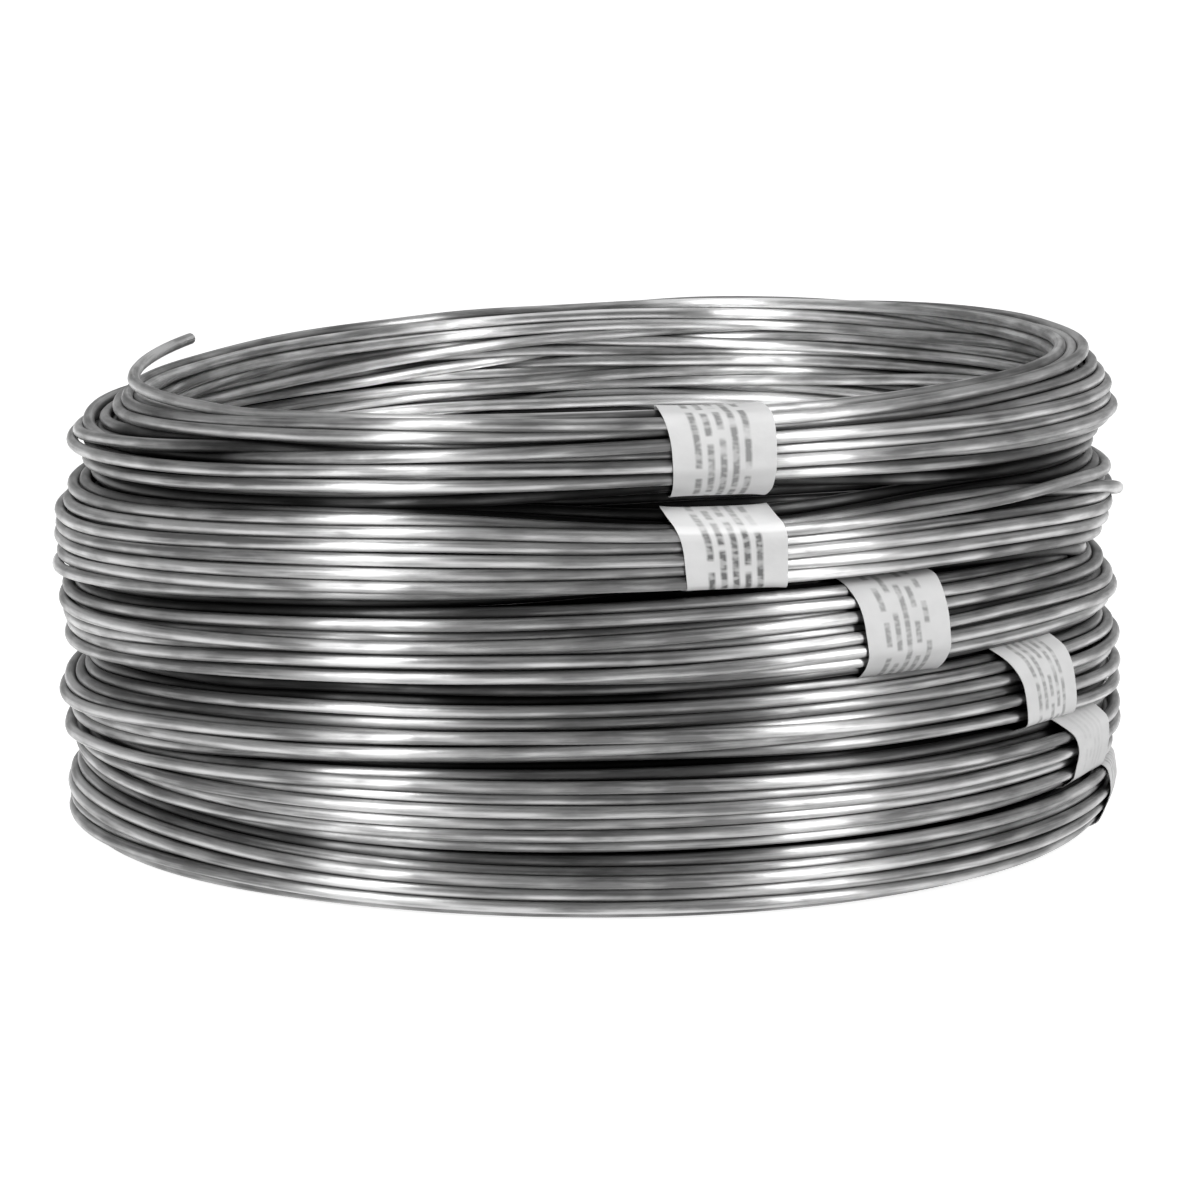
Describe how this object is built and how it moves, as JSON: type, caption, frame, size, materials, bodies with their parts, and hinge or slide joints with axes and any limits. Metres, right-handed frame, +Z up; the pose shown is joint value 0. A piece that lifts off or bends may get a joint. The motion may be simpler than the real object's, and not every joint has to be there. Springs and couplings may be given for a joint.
{
  "type": "coil of galvanized wire",
  "caption": "Round coil of bare galvanized steel wire, wound in hanks that lie flat on one another, each bound by a paper label band, with an open bore and one free wire end on top.",
  "frame": {"origin": "on the bottom hank's axis, on the floor that it lies on", "axes": "+Z up along the bottom hank's axis, -Y towards the picture's front, +X to the picture's right"},
  "size_m": [0.2462, 0.2462, 0.1104],
  "materials": {
    "wire": "bright hot-dip galvanized, drawn smooth",
    "label": "plain white paper with small grey print"
  },
  "bodies": {
    "root": {"wire_hank_1": "wire", "wire_hank_2": "wire", "wire_hank_3": "wire", "wire_hank_4": "wire", "wire_hank_5": "wire", "wire_hank_6": "wire", "label_band_1": "label", "label_band_2": "label", "label_band_3": "label", "label_band_4": "label", "label_band_5": "label", "label_band_6": "label"}
  },
  "joints": []
}
